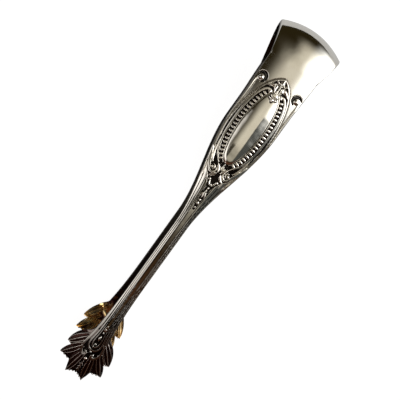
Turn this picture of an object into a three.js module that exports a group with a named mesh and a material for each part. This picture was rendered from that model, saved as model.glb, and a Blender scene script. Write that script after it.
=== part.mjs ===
// Sugar tongs: a sprung bow, two threaded arms with applied medallions, and two leaf claws.
// Millimetres. The tongs lie on the lower arm: +X runs to the leaf tips, +Y across the arms, +Z up.
// Each arm is drawn above the mid-plane between the arms, with x counted from the bow's crest.
import * as THREE from "three";

// Overall sizes
const LENGTH = 112; // bow crest to leaf tips
const ARM_REACH = 13; // mid-plane to the outside of an arm, and the outside radius of the bow
const CROWN_RADIUS = 15.5; // roundness of the arms across their width
const SOLDER_GAP = 0.3; // butted seams between the bow, an arm and its leaf claw
const SEAT_GAP = 0.12; // lapped seams between an arm and what lies on or under it

// Bow
const BOW_WIDTH = 19.4; // at the crest
const SHOULDER_WIDTH = 14.4; // where the bow meets the arms
const CREST_CROWN_RADIUS = 20; // roundness across the bow at its crest, easing to that of the arms
const BOW_SHEET = 1.2;

// Arms
const MEDALLION_WIDTH = 13.7; // arm width beside the medallion
const MEDALLION_RUN = 11; // shoulder to the full medallion width
const TAPER_START = 17; // shoulder to where the arm begins to narrow
const TAPER_RUN = 32; // length over which it narrows to the shank
const SHANK_WIDTH = 3.6;
const SHANK_THICKNESS = 1.7;
const TONGUE_WIDTH = 6.6; // rounded end of the arm, lying over the leaf
const TONGUE_THICKNESS = 0.75;
const TONGUE_BLUNT = 3; // flat at the end of the round
const TONGUE_END_BACK = 7.1; // leaf tips to the end of the tongue
const TONGUE_RUN = 24; // length over which the shank widens to the tongue

// Threads along the arms
const REED_WIDTH = 0.72; // the thread at each edge
const REED_HEIGHT = 0.28;
const REED_START = 6; // shoulder to the first of the thread
const REED_FADE = 4;
const CHANNEL_DEPTH = 0.2; // hollow down the middle of the shank, and the height of its inner threads
const CHANNEL_SHARE = 1 / 3; // part of the width between the edge threads that the hollow takes

// Medallion: a flat monogram plaque inside a beaded wire
const MEDALLION_PLACE = 18.5; // shoulder to the middle of the medallion
const PLAQUE_LENGTH = 21.8;
const PLAQUE_WIDTH = 6.4;
const PLAQUE_HEIGHT = 0.9; // flat table above the arm
const PLAQUE_BEVEL = 0.5;
const BEAD_COUNT = 50;
const BEAD_DIAMETER = 0.85;
const BEAD_NECK = 0.55; // wire diameter between two beads
const BEAD_CLEARANCE = 0.5; // plaque edge to the nearest bead

// Leaf claw
const LEAF_LENGTH = 18; // root end to the tips
const LEAF_WIDTH = 13.4; // across the tips of the first lobes
const LEAF_SHEET = 0.9;
const LEAF_SWELL = 0.75; // how far the arm swells outwards over the leaf, so that the tongs lie level
const LEAF_SWELL_RUN = 16;
const LEAF_CURL = 2; // how far the tips turn in
const LEAF_CURL_RUN = 12; // length of leaf that turns in
const LEAF_DISH_RADIUS = 10; // roundness across the leaf
const LEAF_VALLEY = 0.6; // depth of the valley between two lobes below their ribs
const LEAF_HEART_BACK = 11.2; // leaf tips to the point that the lobes fan out from
const LEAF_SPRING_BACK = 14.6; // leaf tips to where the first lobe leaves the tongue's edge
const LEAF_TEETH = 2; // on the cut side of each lobe
const TOOTH_DEPTH = 0.35;
// Lobes of one half of the leaf: each has a full outer side from the last notch to its tip, then a toothed
// cut to the next notch. Points are shares of the leaf's length back from the tips, and of half its width.
const LOBES = [
  {
    fullness: { back: 0.645, out: 0.95 },
    tip: { back: 0.405, out: 1 },
    notch: { back: 0.385, out: 0.78 },
  },
  {
    fullness: { back: 0.295, out: 0.955 },
    tip: { back: 0.183, out: 0.985 },
    notch: { back: 0.167, out: 0.48 },
  },
  {
    fullness: { back: 0.111, out: 0.45 },
    tip: { back: 0, out: 0.373 },
    notch: { back: 0.078, out: 0 },
  },
];

// Facets
const BOW_STEPS = 30;
const ARM_STEPS = 40;
const TONGUE_STEPS = 12;
const FIELD_COLUMNS = 3; // from the centre line to the edge thread
const REED_COLUMNS = 3;
const OVAL_STEPS = 36;
const BEAD_STEPS = 3;
const BEAD_SIDES = 6;
const LOBE_STEPS = 5;
const LEAF_RINGS = 5;

const SHOULDER = ARM_REACH; // distance of the bow's ends from its crest
const LEAF_START = LENGTH - LEAF_LENGTH;
const RABBET = LEAF_START - 2 * SOLDER_GAP; // where the arm is cut back to take the leaf's root
const TONGUE_END = LENGTH - TONGUE_END_BACK;
const TONGUE_RADIUS = TONGUE_WIDTH / 2;
const TONGUE_CENTRE = TONGUE_END - Math.sqrt(TONGUE_RADIUS ** 2 - (TONGUE_BLUNT / 2) ** 2);
const MEDALLION_MIDDLE = SHOULDER + MEDALLION_PLACE;
const HALF_HEIGHT = ARM_REACH + PLAQUE_HEIGHT;

const POLISHED_SILVER = { color: 0xc9c4b8, roughness: 0.14, metalness: 1 };
const ANTIQUED_SILVER = { color: 0xa59f93, roughness: 0.24, metalness: 1 };
const GILT_SILVER = { color: 0x9a7f4c, roughness: 0.26, metalness: 1 };

const lerp = THREE.MathUtils.lerp;
const smooth = (start, run, x) => THREE.MathUtils.smoothstep(x, start, start + run);
const point = (x, y, z) => new THREE.Vector3(x, y, z);

// Share of the change from the wide medallion to the narrow shank
const shankShare = (x) => smooth(SHOULDER + TAPER_START, TAPER_RUN, x);

// Drop of the crowned surface below its centre line
const crownDrop = (y, radius = CROWN_RADIUS) => (y * y) / (2 * radius);

// Half the width of an arm
function halfWidth(x) {
  const shoulder = lerp(SHOULDER_WIDTH, MEDALLION_WIDTH, smooth(SHOULDER, MEDALLION_RUN, x)) / 2;
  const shank = lerp(shoulder, SHANK_WIDTH / 2, shankShare(x));
  if (x > TONGUE_CENTRE) return Math.sqrt(TONGUE_RADIUS ** 2 - (x - TONGUE_CENTRE) ** 2);
  const towardsTongue = Math.max(0, 1 - (TONGUE_CENTRE - x) / TONGUE_RUN);
  return lerp(shank, TONGUE_RADIUS, towardsTongue ** 3);
}

// Height of an arm's outside above the mid-plane on its centre line, on to the leaf tips
function outerLine(x) {
  const swellEnd = LENGTH - LEAF_CURL_RUN;
  const swell = LEAF_SWELL * smooth(swellEnd - LEAF_SWELL_RUN, LEAF_SWELL_RUN, x);
  const curl = LEAF_CURL * (Math.max(0, x - swellEnd) / LEAF_CURL_RUN) ** 2;
  return ARM_REACH + swell - curl;
}

// An arm is as thick as the bow at its shoulder, and is cut back where the leaf lies under its tongue.
function armThickness(x) {
  if (x > RABBET) return TONGUE_THICKNESS;
  return lerp(BOW_SHEET, SHANK_THICKNESS, shankShare(x));
}

function solid(positions, faces) {
  const geometry = new THREE.BufferGeometry();
  geometry.setAttribute("position", new THREE.Float32BufferAttribute(positions, 3));
  geometry.setIndex(faces);
  geometry.computeVertexNormals();
  return geometry;
}

// A closed sheet from rows of paired outer and inner points: two skins and four edges
function sheet(rows) {
  const columns = rows[0].length;
  const skin = (side) => rows.flatMap((row) => row.flatMap((pair) => pair[side].toArray()));
  const outer = (i, j) => i * columns + j;
  const inner = (i, j) => rows.length * columns + outer(i, j);
  const lastRow = rows.length - 1;
  const lastColumn = columns - 1;
  const faces = [];
  const quad = (a, b, c, d) => faces.push(a, b, c, a, c, d);
  for (let i = 0; i < lastRow; i++) {
    for (let j = 0; j < lastColumn; j++) {
      quad(outer(i, j), outer(i + 1, j), outer(i + 1, j + 1), outer(i, j + 1));
      quad(inner(i, j), inner(i, j + 1), inner(i + 1, j + 1), inner(i + 1, j));
    }
    quad(outer(i, 0), inner(i, 0), inner(i + 1, 0), outer(i + 1, 0));
    quad(outer(i, lastColumn), outer(i + 1, lastColumn), inner(i + 1, lastColumn), inner(i, lastColumn));
  }
  for (let j = 0; j < lastColumn; j++) {
    quad(outer(0, j), outer(0, j + 1), inner(0, j + 1), inner(0, j));
    quad(outer(lastRow, j), inner(lastRow, j), inner(lastRow, j + 1), outer(lastRow, j + 1));
  }
  return solid([...skin(0), ...skin(1)], faces);
}

// A closed dish from rings of paired outer and inner points around a centre pair
function dish(centre, rings) {
  const sides = rings[0].length;
  const skin = (side) => [centre, ...rings.flat()].flatMap((pair) => pair[side].toArray());
  const skinSize = 1 + rings.length * sides;
  const outer = (ring, k) => 1 + ring * sides + (k % sides);
  const inner = (ring, k) => skinSize + outer(ring, k);
  const rim = rings.length - 1;
  const faces = [];
  const quad = (a, b, c, d) => faces.push(a, b, c, a, c, d);
  for (let k = 0; k < sides; k++) {
    faces.push(0, outer(0, k), outer(0, k + 1));
    faces.push(skinSize, inner(0, k + 1), inner(0, k));
    for (let r = 0; r < rim; r++) {
      quad(outer(r, k), outer(r + 1, k), outer(r + 1, k + 1), outer(r, k + 1));
      quad(inner(r, k), inner(r, k + 1), inner(r + 1, k + 1), inner(r + 1, k));
    }
    quad(outer(rim, k), inner(rim, k), inner(rim, k + 1), outer(rim, k + 1));
  }
  return solid([...skin(0), ...skin(1)], faces);
}

// A closed loop of rings, as a wire bent round on itself has
function wireLoop(rings) {
  const sides = rings[0].length;
  const at = (i, k) => (i % rings.length) * sides + (k % sides);
  const faces = [];
  for (let i = 0; i < rings.length; i++) {
    for (let k = 0; k < sides; k++) {
      faces.push(at(i, k), at(i + 1, k), at(i + 1, k + 1));
      faces.push(at(i, k), at(i + 1, k + 1), at(i, k + 1));
    }
  }
  const positions = rings.flat().flatMap((p) => p.toArray());
  return solid(positions, faces);
}

// Rise of the inner threads and the hollow between them, at a share of the way to the edge thread
function fieldRise(share, depth) {
  if (share <= CHANNEL_SHARE) return -depth;
  return depth * Math.sin((Math.PI * (share - CHANNEL_SHARE)) / (1 - CHANNEL_SHARE));
}

// Points across half an arm or the bow: distance from the centre line, and rise above the plain crown
function halfSection(half, thread, channel) {
  const field = half - REED_WIDTH;
  const section = [];
  for (let k = 1; k <= FIELD_COLUMNS; k++) {
    const share = k / FIELD_COLUMNS;
    section.push({ y: field * share, rise: fieldRise(share, channel) });
  }
  for (let k = 1; k <= REED_COLUMNS; k++) {
    const share = k / REED_COLUMNS;
    section.push({ y: field + REED_WIDTH * share, rise: thread * Math.sin(Math.PI * share) });
  }
  return section;
}

function section(half, thread, channel) {
  const right = halfSection(half, thread, channel);
  const left = right.map(({ y, rise }) => ({ y: -y, rise })).reverse();
  return [...left, { y: 0, rise: fieldRise(0, channel) }, ...right];
}

// The bow is a half ring, widest at its crest and crowned across.
function bow() {
  const rows = [];
  for (let i = 0; i <= BOW_STEPS; i++) {
    const turn = Math.PI * (i / BOW_STEPS - 0.5);
    const half = lerp(SHOULDER_WIDTH, BOW_WIDTH, Math.cos(turn)) / 2;
    const crown = lerp(CROWN_RADIUS, CREST_CROWN_RADIUS, Math.cos(turn));
    const place = (y, depth) => {
      const radius = ARM_REACH - crownDrop(y, crown) - depth;
      return point(SHOULDER - radius * Math.cos(turn), y, radius * Math.sin(turn));
    };
    rows.push(section(half, 0, 0).map(({ y }) => [place(y, 0), place(y, BOW_SHEET)]));
  }
  return sheet(rows);
}

// Distances along an arm where its section is drawn: shoulder to leaf root, then the tongue
function armStations() {
  const stations = [];
  for (let i = 0; i <= ARM_STEPS; i++) {
    stations.push(lerp(SHOULDER + SOLDER_GAP, RABBET, i / ARM_STEPS));
  }
  for (let i = 0; i <= TONGUE_STEPS; i++) {
    stations.push(lerp(LEAF_START - SOLDER_GAP, TONGUE_END, i / TONGUE_STEPS));
  }
  return stations;
}

function arm() {
  const rows = armStations().map((x) => {
    const thread = REED_HEIGHT * smooth(SHOULDER + REED_START, REED_FADE, x);
    const channel = CHANNEL_DEPTH * shankShare(x);
    return section(halfWidth(x), thread, channel).map(({ y, rise }) => {
      const plain = outerLine(x) - crownDrop(y);
      return [point(x, y, plain + rise), point(x, y, plain - armThickness(x))];
    });
  });
  return sheet(rows);
}

// The monogram plaque is an oval with a flat table and a bevelled rim, seated on the arm's crown.
function plaque() {
  const table = ARM_REACH + PLAQUE_HEIGHT;
  const pair = (x, y, drop) => [point(x, y, table - drop), point(x, y, ARM_REACH - crownDrop(y) + SEAT_GAP)];
  const oval = (inset, drop) => {
    const ring = [];
    for (let k = 0; k < OVAL_STEPS; k++) {
      const turn = (2 * Math.PI * k) / OVAL_STEPS;
      const x = MEDALLION_MIDDLE + (PLAQUE_LENGTH / 2 - inset) * Math.cos(turn);
      const y = (PLAQUE_WIDTH / 2 - inset) * Math.sin(turn);
      ring.push(pair(x, y, drop));
    }
    return ring;
  };
  const rings = [oval(PLAQUE_WIDTH / 4, 0), oval(PLAQUE_BEVEL, 0), oval(0, PLAQUE_BEVEL)];
  return dish(pair(MEDALLION_MIDDLE, 0, 0), rings);
}

// Beaded wire round the plaque: its thickness swells to a bead and shrinks to a neck.
function beadedWire() {
  const beadRadius = BEAD_DIAMETER / 2;
  const spread = BEAD_CLEARANCE + beadRadius;
  const alongHalf = PLAQUE_LENGTH / 2 + spread;
  const acrossHalf = PLAQUE_WIDTH / 2 + spread;
  const path = new THREE.EllipseCurve(MEDALLION_MIDDLE, 0, alongHalf, acrossHalf);
  const steps = BEAD_COUNT * BEAD_STEPS;
  path.arcLengthDivisions = steps * BEAD_SIDES;
  const rings = [];
  for (let i = 0; i < steps; i++) {
    const at = path.getPointAt(i / steps);
    const along = path.getTangentAt(i / steps);
    const outward = point(along.y, -along.x, 0);
    const neckShare = Math.cos((Math.PI * (i % BEAD_STEPS)) / BEAD_STEPS) ** 2;
    const radius = lerp(beadRadius, BEAD_NECK / 2, neckShare);
    const innerReach = Math.max(0, Math.abs(at.y) - beadRadius);
    const centre = point(at.x, at.y, ARM_REACH - crownDrop(innerReach) + SEAT_GAP + beadRadius);
    const ring = [];
    for (let k = 0; k < BEAD_SIDES; k++) {
      const turn = (2 * Math.PI * k) / BEAD_SIDES;
      const sideways = outward.clone().multiplyScalar(radius * Math.cos(turn));
      ring.push(centre.clone().add(sideways).add(point(0, 0, radius * Math.sin(turn))));
    }
    rings.push(ring);
  }
  return wireLoop(rings);
}

// One lobe's edge up to its next notch, with the rib's share at each point: 1 at the tip, 0 at a notch
function lobeEdge(from, fullness, tip, notch, heart) {
  const outerSide = new THREE.QuadraticBezierCurve(from.at, fullness, tip);
  const edge = [];
  for (let k = 0; k <= LOBE_STEPS; k++) {
    const share = k / LOBE_STEPS;
    const rib = lerp(from.rib, 1, Math.sin((share * Math.PI) / 2) ** 2);
    edge.push({ at: outerSide.getPoint(share), rib });
  }
  const cutSteps = 2 * LEAF_TEETH;
  for (let k = 1; k < cutSteps; k++) {
    const at = tip.clone().lerp(notch, k / cutSteps);
    const inwards = heart.clone().sub(at).setLength(TOOTH_DEPTH * (k % 2));
    edge.push({ at: at.add(inwards), rib: 1 - k / cutSteps });
  }
  return edge;
}

// Outline of half the leaf from its root to the notch on the centre line
function leafHalf(heart) {
  const place = ({ back, out }) => new THREE.Vector2(LENGTH - back * LEAF_LENGTH, (out * LEAF_WIDTH) / 2);
  const underEdge = (x) => ({ at: new THREE.Vector2(x, halfWidth(x)), rib: 1 });
  const half = [underEdge(LEAF_START)];
  let from = underEdge(LENGTH - LEAF_SPRING_BACK);
  for (const lobe of LOBES) {
    const notch = place(lobe.notch);
    half.push(...lobeEdge(from, place(lobe.fullness), place(lobe.tip), notch, heart));
    from = { at: notch, rib: 0 };
  }
  return [...half, from];
}

// Leaf claw: lobes that fan out from a heart under the tongue, ribbed outside and hollow inside
function leafClaw() {
  const heart = new THREE.Vector2(LENGTH - LEAF_HEART_BACK, 0);
  const right = leafHalf(heart);
  const left = right.slice(0, -1).map(({ at, rib }) => ({ at: new THREE.Vector2(at.x, -at.y), rib }));
  const rootMiddle = { at: new THREE.Vector2(LEAF_START, 0), rib: 1 };
  const outline = [rootMiddle, ...left, ...right.reverse()];
  const pair = (at, valley) => {
    const underTongue = outerLine(at.x) - TONGUE_THICKNESS - SEAT_GAP;
    const z = underTongue - at.y ** 2 / (2 * LEAF_DISH_RADIUS) - valley;
    return [point(at.x, at.y, z), point(at.x, at.y, z - LEAF_SHEET)];
  };
  const rings = [];
  for (let r = 1; r <= LEAF_RINGS; r++) {
    const share = r / LEAF_RINGS;
    const inset = ({ at, rib }) => pair(heart.clone().lerp(at, share), LEAF_VALLEY * (1 - rib) * share);
    rings.push(outline.map(inset));
  }
  return dish(pair(heart, 0), rings);
}

function named(name, geometry, finish) {
  const mesh = new THREE.Mesh(geometry, new THREE.MeshStandardMaterial(finish));
  mesh.name = name;
  return mesh;
}

// An arm with its leaf claw and medallion. The lower one is the upper one turned half a turn about X.
function side(prefix, turn) {
  const group = new THREE.Group();
  group.rotation.x = turn;
  group.add(
    named(`${prefix}_arm`, arm(), ANTIQUED_SILVER),
    named(`${prefix}_leaf_claw`, leafClaw(), GILT_SILVER),
    named(`${prefix}_monogram_plaque`, plaque(), POLISHED_SILVER),
    named(`${prefix}_beaded_wire`, beadedWire(), ANTIQUED_SILVER),
  );
  return group;
}

const tongs = new THREE.Group();
tongs.position.set(-LENGTH / 2, 0, HALF_HEIGHT);
tongs.add(named("bow_spring", bow(), POLISHED_SILVER), side("upper", 0), side("lower", Math.PI));

export default tongs;
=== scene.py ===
"""Sugar tongs: bow, ornamented arms, plaques, beaded wires and leaf claws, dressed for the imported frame.

Each side is drawn in millimetres as the upper arm: x from the bow's crest, y across, z above the mid-plane
between the arms. place() turns that into the frame's metres, and half a turn about X gives the lower side.
"""
import math

import bpy
import numpy as np
from mathutils import Matrix


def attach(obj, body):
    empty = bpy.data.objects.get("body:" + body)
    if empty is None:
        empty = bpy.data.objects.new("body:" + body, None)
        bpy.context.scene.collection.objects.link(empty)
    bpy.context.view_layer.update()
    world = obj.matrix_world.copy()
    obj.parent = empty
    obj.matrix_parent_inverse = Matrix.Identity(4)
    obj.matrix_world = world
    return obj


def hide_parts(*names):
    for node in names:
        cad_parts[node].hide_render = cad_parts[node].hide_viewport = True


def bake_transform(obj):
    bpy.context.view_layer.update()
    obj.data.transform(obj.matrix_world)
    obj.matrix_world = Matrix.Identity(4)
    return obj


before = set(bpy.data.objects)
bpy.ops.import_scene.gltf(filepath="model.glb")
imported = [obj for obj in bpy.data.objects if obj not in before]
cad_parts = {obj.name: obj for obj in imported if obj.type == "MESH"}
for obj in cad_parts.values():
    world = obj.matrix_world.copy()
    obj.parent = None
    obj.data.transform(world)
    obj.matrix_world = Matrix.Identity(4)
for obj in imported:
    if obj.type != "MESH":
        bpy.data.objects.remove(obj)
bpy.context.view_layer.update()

# Sizes repeated from the part's source, in millimetres
LENGTH = 112.0
ARM_REACH = 13.0
SHOULDER = ARM_REACH
CROWN_RADIUS = 15.5
BOW_WIDTH = 19.4
SHOULDER_WIDTH = 14.4
CREST_CROWN_RADIUS = 20.0
BOW_SHEET = 1.2
MEDALLION_WIDTH = 13.7
MEDALLION_RUN = 11.0
MEDALLION_MIDDLE = 31.5
TAPER_START = 17.0
TAPER_RUN = 32.0
SHANK_WIDTH = 3.6
SHANK_THICKNESS = 1.7
TONGUE_RADIUS = 3.3
TONGUE_BLUNT = 3.0
TONGUE_END = 104.9
TONGUE_THICKNESS = 0.75
TONGUE_RUN = 24.0
TONGUE_CENTRE = TONGUE_END - math.sqrt(TONGUE_RADIUS ** 2 - (TONGUE_BLUNT / 2) ** 2)
PLAQUE_LENGTH = 21.8
PLAQUE_WIDTH = 6.4
PLAQUE_TABLE = 13.9
HALF_HEIGHT = PLAQUE_TABLE
BEAD_COUNT = 50
BEAD_RADIUS = 0.425
BEAD_CLEARANCE = 0.5
LEAF_START = 94.0
LEAF_SWELL = 0.75
LEAF_SWELL_RUN = 16.0
LEAF_CURL = 2.0
LEAF_CURL_RUN = 12.0
LEAF_DISH_RADIUS = 10.0
LEAF_HEART = 100.8
LEAF_SPRING = 97.4
LEAF_SHEET = 0.9

# How far before and after the leaf's root the arm thins to its tongue
TONGUE_THINNING = 3.0
MILLIMETRES = 1000


def smooth(start, end, x):
    t = np.clip((x - start) / (end - start), 0, 1)
    return t * t * (3 - 2 * t)


def lerp(a, b, t):
    return a + (b - a) * t


def shank_share(x):
    return smooth(SHOULDER + TAPER_START, SHOULDER + TAPER_START + TAPER_RUN, x)


def crown_drop(y, radius=CROWN_RADIUS):
    return y * y / (2 * radius)


def half_width(x):
    shoulder = lerp(SHOULDER_WIDTH, MEDALLION_WIDTH, smooth(SHOULDER, SHOULDER + MEDALLION_RUN, x)) / 2
    shank_half = lerp(shoulder, SHANK_WIDTH / 2, shank_share(x))
    towards_tongue = np.clip(1 - (TONGUE_CENTRE - x) / TONGUE_RUN, 0, 1)
    widening = lerp(shank_half, TONGUE_RADIUS, towards_tongue ** 3)
    round_end = np.sqrt(np.maximum(TONGUE_RADIUS ** 2 - (x - TONGUE_CENTRE) ** 2, 0))
    return np.where(x > TONGUE_CENTRE, round_end, widening)


def outer_line(x):
    """Height of an arm's outside above the mid-plane on its centre line, on to the leaf tips."""
    swell_end = LENGTH - LEAF_CURL_RUN
    swell = LEAF_SWELL * smooth(swell_end - LEAF_SWELL_RUN, swell_end, x)
    curl = LEAF_CURL * (np.maximum(0, x - swell_end) / LEAF_CURL_RUN) ** 2
    return ARM_REACH + swell - curl


def arm_thickness(x):
    plain = lerp(BOW_SHEET, SHANK_THICKNESS, shank_share(x))
    thinning = smooth(LEAF_START - TONGUE_THINNING, LEAF_START + TONGUE_THINNING, x)
    return lerp(plain, TONGUE_THICKNESS, thinning)


def place(points, side):
    """Millimetres of one side to the frame's metres. Side is 1 for the upper arm and -1 for the lower."""
    points = np.asarray(points, float)
    placed = np.empty_like(points)
    placed[..., 0] = points[..., 0] - LENGTH / 2
    placed[..., 1] = side * points[..., 1]
    placed[..., 2] = HALF_HEIGHT + side * points[..., 2]
    return placed / MILLIMETRES


# Curves and relief

# Heights above the plain arm
GROUND = -0.36
GROOVE = -0.30
THREAD_TOP = 0.24
TONGUE_TOP = 0.02

# A strap rises to its top over this share from its edge, and the top is flat but for a slight crown
STRAP_EDGE = 0.55
STRAP_FLAT = 0.97

# How a form rounds over: 1 is a parabola, and a smaller power is fuller, with steeper sides
PEAKED = 1.0
DROP_ROUND = 0.7
LONG_DROP_ROUND = 0.6
THREAD_ROUND = 0.55
BEAD_ROUND = 0.5
WIRE_ROUND = 0.4


def spline(points, steps=10):
    """Smooth path through the points."""
    p = np.asarray(points, float)
    p = np.vstack([2 * p[0] - p[1], p, 2 * p[-1] - p[-2]])
    t = np.linspace(0, 1, steps, endpoint=False)[:, None]
    runs = []
    for a, b, c, d in zip(p, p[1:], p[2:], p[3:]):
        slope = c - a
        bend = 2 * a - 5 * b + 4 * c - d
        twist = 3 * b - a - 3 * c + d
        runs.append(0.5 * (2 * b + slope * t + bend * t ** 2 + twist * t ** 3))
    return np.vstack([*runs, p[-2:-1]])


def distance(x, y, path):
    """Distance of each point from a path, and how far along the path its nearest point lies, as a share."""
    steps = np.linalg.norm(np.diff(path, axis=0), axis=1)
    starts = np.concatenate([[0], np.cumsum(steps)])
    best = np.full(x.shape, np.inf)
    along = np.zeros(x.shape)
    for start, a, b, step in zip(starts, path, path[1:], steps):
        t = np.clip(((x - a[0]) * (b[0] - a[0]) + (y - a[1]) * (b[1] - a[1])) / step ** 2, 0, 1)
        d = np.hypot(x - a[0] - t * (b[0] - a[0]), y - a[1] - t * (b[1] - a[1]))
        nearer = d < best
        best[nearer] = d[nearer]
        along[nearer] = (start + t[nearer] * step) / starts[-1]
    return best, along


class Relief:
    """Rise of the ornament above the plain surface over a grid of points, the same on both sides of y = 0."""

    def __init__(self, x, y):
        self.x = x
        self.y = np.abs(y)
        self.rise = np.zeros_like(x)

    def lift(self, share, foot, top, power=PEAKED):
        """Raises the surface to a rounded form whose share is 1 at its ridge and 0 at its foot."""
        level = foot + (top - foot) * np.clip(share, 0, 1) ** power
        self.rise = np.where(share > 0, np.maximum(self.rise, level), self.rise)

    def sink(self, share, depth):
        """Presses the surface down to depth, where share is 1."""
        level = depth * np.clip(share, 0, 1)
        self.rise = np.where(share > 0, np.minimum(self.rise, level), self.rise)

    def along(self, points, halves):
        """Share of the way from the edge of a path, where it is 0, to its middle, where it is 1."""
        path = spline(points)
        reach = max(halves)
        low, high = path.min(0) - reach, path.max(0) + reach
        box = (self.x > low[0]) & (self.x < high[0]) & (self.y > low[1]) & (self.y < high[1])
        d, along = distance(self.x[box], self.y[box], path)
        half = np.interp(along, np.linspace(0, 1, len(halves)), halves)
        share = np.full(self.x.shape, -1.0)
        share[box] = 1 - (d / half) ** 2
        return share

    def oval(self, centre, length, width):
        """1 in the middle of an oval with half sizes along and across the arm, and 0 at its edge."""
        return 1 - ((self.x - centre[0]) / length) ** 2 - ((self.y - centre[1]) / width) ** 2

    def thread(self, points, halves, top, foot=GROUND, power=THREAD_ROUND):
        """A rounded thread along a path, with its half width given at even steps along it."""
        self.lift(self.along(points, halves), foot, top, power)

    def strap(self, points, halves, top, foot=GROUND):
        """A band with a nearly flat top and rounded edges."""
        share = self.along(points, halves)
        self.lift(smooth(0, STRAP_EDGE, share) * (STRAP_FLAT + (1 - STRAP_FLAT) * share), foot, top)

    def cut(self, points, halves, depth):
        """A rounded groove along a path."""
        self.sink(self.along(points, halves), depth)

    def dimple(self, centre, length, width, depth):
        """A shallow hollow."""
        self.rise = self.rise - depth * np.clip(self.oval(centre, length, width), 0, 1)

    def boss(self, centre, length, width, top, foot=GROUND, power=DROP_ROUND):
        """A rounded drop."""
        self.lift(self.oval(centre, length, width), foot, top, power)


# Ornament of an arm. A thread or strap is its path, its half widths at even steps along it, and its top.
# A boss is its centre, its half sizes along and across the arm, and its top. All are drawn for one side.

# Patina: hollows are stained up to a height. Towards the tongue the stain stands higher, and its flat tops
# get a painted dark reflection. The plain metal beside the crest is stained in its deep grooves alone.
STAIN = (-0.35, -0.19)
TONGUE_STAIN = (-0.24, -0.04)
TONGUE_DARK_REFLECTION = 0.66
TONGUE_DARKENING_IN = (82.0, 97.0)
DARK_REFLECTION_TOPS = (-0.05, 0.0)
PLAIN_END = 24.0
PLAIN_STAIN = 0.95
PLAIN_STAIN_HEIGHTS = (-0.15, -0.4)


def arm_relief(x, y):
    """Rise of an arm's ornament, and its patina with a painted dark reflection on the tongue's tops."""
    r = Relief(x, y)
    w = half_width(r.x)
    edge_thread(r, w)
    outside_frame = cartouche(r)
    sunk_field(r)
    shank(r, w)
    shoulder_volute(r)
    crest(r)
    plaque_wire(r)
    plaque_pendant(r, 0.0, PENDANT_FOOT, PENDANT_TOP)
    scrolls(r)
    husks(r)
    tongue(r)
    return r.rise - shank_crown(x, y), arm_darkening(r, outside_frame)


def arm_darkening(r, outside_frame):
    tongue_share = smooth(*TONGUE_DARKENING_IN, r.x)
    foot, top = [lerp(*heights, tongue_share) for heights in zip(STAIN, TONGUE_STAIN)]
    patina_and_shade = 1 - smooth(foot, top, r.rise)
    plain_stain = PLAIN_STAIN * smooth(*PLAIN_STAIN_HEIGHTS, r.rise)
    patina_and_shade = np.where(outside_frame & (r.x < PLAIN_END), plain_stain, patina_and_shade)
    # Painted dark reflection: the flat tops darken towards the tongue.
    return np.maximum(patina_and_shade, TONGUE_DARK_REFLECTION * tongue_share * smooth(*DARK_REFLECTION_TOPS, r.rise))


# Thread along each edge of the arm beside the medallion, and its width at places along the arm
EDGE_THREAD_IN = (19.6, 21.5)
EDGE_THREAD_OUT = (45.0, 49.0)
EDGE_THREAD_PLACES = [19, 26, 31, 44, 50]
EDGE_THREAD_WIDTHS = [0.66, 0.62, 0.36, 0.36, 0.62]
EDGE_GROOVE_INSET = 0.1
EDGE_GROOVE_HALF = 0.14


def edge_thread(r, w):
    fade = smooth(*EDGE_THREAD_IN, r.x) * (1 - smooth(*EDGE_THREAD_OUT, r.x))
    width = np.interp(r.x, EDGE_THREAD_PLACES, EDGE_THREAD_WIDTHS)
    groove = (r.y - (w - width - EDGE_GROOVE_INSET)) / EDGE_GROOVE_HALF
    r.sink((1 - groove ** 2) * fade, GROOVE)
    ridge = (r.y - (w - width / 2)) / (width / 2)
    r.lift((1 - ridge ** 2) * fade, 0, THREAD_TOP)


# Frame of the cartouche: control points of its curve from the crest to the arm's side, which it then follows
FRAME_LINE = np.array([(16.4, 0), (17.2, 3.0), (22.5, 6.3), (33.0, 6.36)])
FRAME_CREST = FRAME_LINE[0, 0]
FRAME_SIDE = FRAME_LINE[-1, 0]
FRAME_FOOT = 43.0
FRAME_INSET = 0.34
FRAME_CURVE_STEPS = 60
FRAME_SIDE_STEPS = 30
FRAME_GROOVE_HALF = 0.14
FRAME_WIDTH = 0.5
FRAME_RIDGE_INSET = 0.36
FRAME_RIDGE_HALF = 0.2
FRAME_RIDGE_TOP = 0.14


def frame_path():
    """Outer edge of the cartouche frame, from its crest on the centre line down to its scrolls."""
    t = np.linspace(0, 1, FRAME_CURVE_STEPS)[:, None]
    a, b, c, d = FRAME_LINE
    upper = (1 - t) ** 3 * a + 3 * (1 - t) ** 2 * t * b + 3 * (1 - t) * t ** 2 * c + t ** 3 * d
    x = np.linspace(FRAME_SIDE, FRAME_FOOT, FRAME_SIDE_STEPS)[1:]
    lower = np.stack([x, half_width(x) - FRAME_INSET], 1)
    return np.vstack([upper, lower])


def cartouche(r):
    """A ridge between two grooves, and the sunk ground within. Returns the points outside the frame."""
    path = frame_path()
    d, _ = distance(r.x, r.y, path)
    line = np.interp(r.x, path[:, 0], path[:, 1])
    inside = (r.y < line) & (r.x > FRAME_CREST) & (r.x < FRAME_FOOT)
    outside = ~inside & (r.x < FRAME_FOOT)
    r.sink(np.where(outside, 1 - (d / FRAME_GROOVE_HALF) ** 2, 0), GROOVE)
    r.rise = np.where(inside, np.where(d > FRAME_WIDTH, GROUND, GROOVE), r.rise)
    ridge = 1 - ((d - FRAME_RIDGE_INSET) / FRAME_RIDGE_HALF) ** 2
    r.lift(np.where(inside, smooth(0, STRAP_EDGE, ridge), -1), GROOVE, FRAME_RIDGE_TOP)
    return outside


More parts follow.
